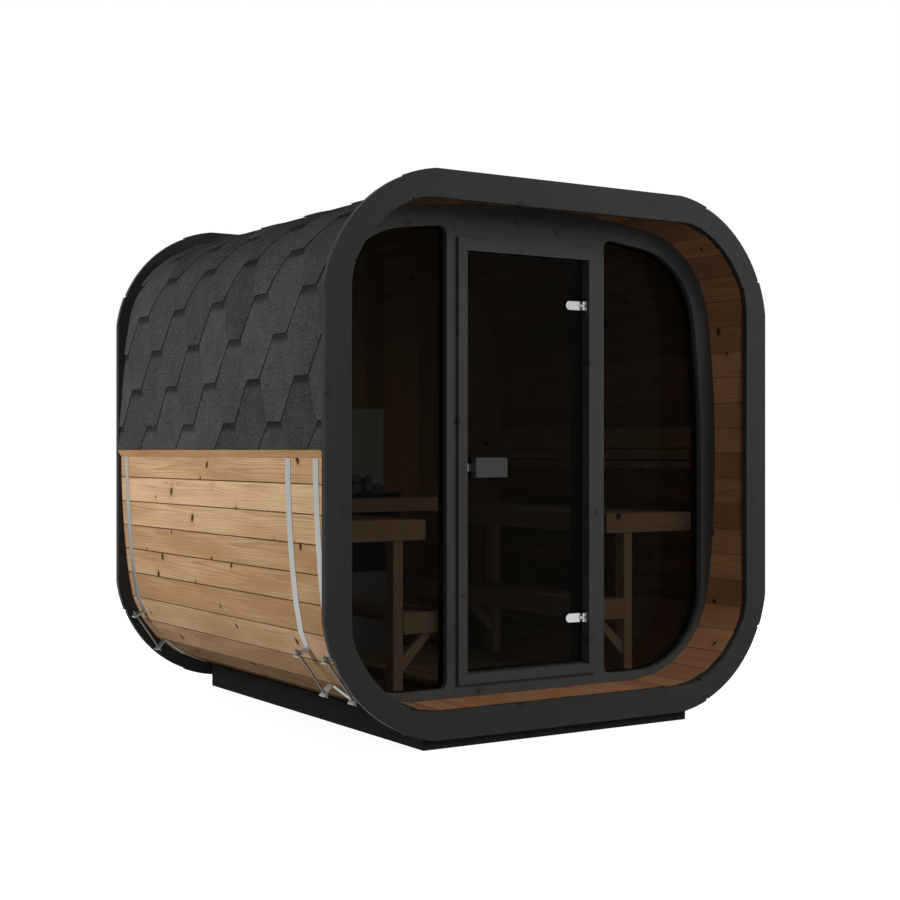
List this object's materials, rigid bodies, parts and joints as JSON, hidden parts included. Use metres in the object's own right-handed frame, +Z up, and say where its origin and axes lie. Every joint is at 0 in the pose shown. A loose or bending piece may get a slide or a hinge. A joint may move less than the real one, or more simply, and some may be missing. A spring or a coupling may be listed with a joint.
{
  "type": "outdoor sauna cabin",
  "caption": "Rounded-cube outdoor sauna cabin: stave tunnel between black rings, shingled roof, glazed front with a hinged glass door, benches and a stone heater inside.",
  "frame": {"origin": "on the ground under the middle of the cabin, at the underside of the base frame", "axes": "+Z up, the glazed front faces -Y, +X to the right seen from the front"},
  "size_m": [2.1176, 2.045, 2.137],
  "materials": {
    "stained_wood": "satin black stain over planed softwood",
    "stave_wood": "planed heat-treated softwood with knots",
    "inner_wood": "planed softwood boards",
    "bench_wood": "planed softwood boards",
    "shingle": "dark grey mineral granules on bitumen",
    "window_glass": "tinted toughened glass",
    "door_glass": "dark tinted toughened glass",
    "band_steel": "galvanised steel band",
    "hinge_chrome": "polished",
    "handle_grey": "matt grey",
    "heater_steel": "black",
    "stand_steel": "grey",
    "shield_steel": "grey",
    "stones": "rough grey stones"
  },
  "bodies": {
    "cabin": {"base_beam_front": "stained_wood", "base_beam_rear": "stained_wood", "base_beam_left": "stained_wood", "base_beam_right": "stained_wood", "floor_staves": "stave_wood", "left_wall_staves": "stave_wood", "right_wall_staves": "stave_wood", "roof_staves": "stave_wood", "roof_shingles": "shingle", "roof_edge_battens": "stave_wood", "front_ring_boards": "stained_wood", "front_ring_corners": "stained_wood", "rear_ring_boards": "stained_wood", "rear_ring_corners": "stained_wood", "front_wall_left": "stained_wood", "front_wall_right": "stained_wood", "front_wall_head": "stained_wood", "front_wall_sill": "stained_wood", "left_window_glass": "window_glass", "right_window_glass": "window_glass", "left_window_lining": "stained_wood", "right_window_lining": "stained_wood", "door_jambs": "stained_wood", "door_frame_head": "stained_wood", "door_frame_sill": "stained_wood", "door_stop": "stained_wood", "back_wall": "inner_wood", "heat_shield": "shield_steel", "heater_casing": "heater_steel", "heater_stand": "stand_steel", "heater_stones": "stones", "heater_floor_plate": "shield_steel", "heater_guard_rail": "bench_wood", "left_upper_bench": "bench_wood", "right_upper_bench": "bench_wood", "left_lower_bench": "bench_wood", "right_lower_bench": "bench_wood", "left_bench_legs": "bench_wood", "right_bench_legs": "bench_wood", "left_backrest": "bench_wood", "right_backrest": "bench_wood", "slatted_floor": "bench_wood", "front_band": "band_steel", "middle_band": "band_steel", "rear_band": "band_steel", "band_tensioners": "band_steel", "door_hinge_plates": "hinge_chrome"},
    "door": {"door_glass": "door_glass", "door_hinge_clamps": "hinge_chrome", "door_handle_outside": "handle_grey", "door_handle_inside": "handle_grey", "door_catch": "hinge_chrome"}
  },
  "joints": [
    {"name": "door_swing", "type": "hinge", "parent": "cabin", "child": "door", "pos_m": [0.284, -0.7625, 1], "axis": [0, 0, 1], "range_deg": [0, 110]}
  ]
}
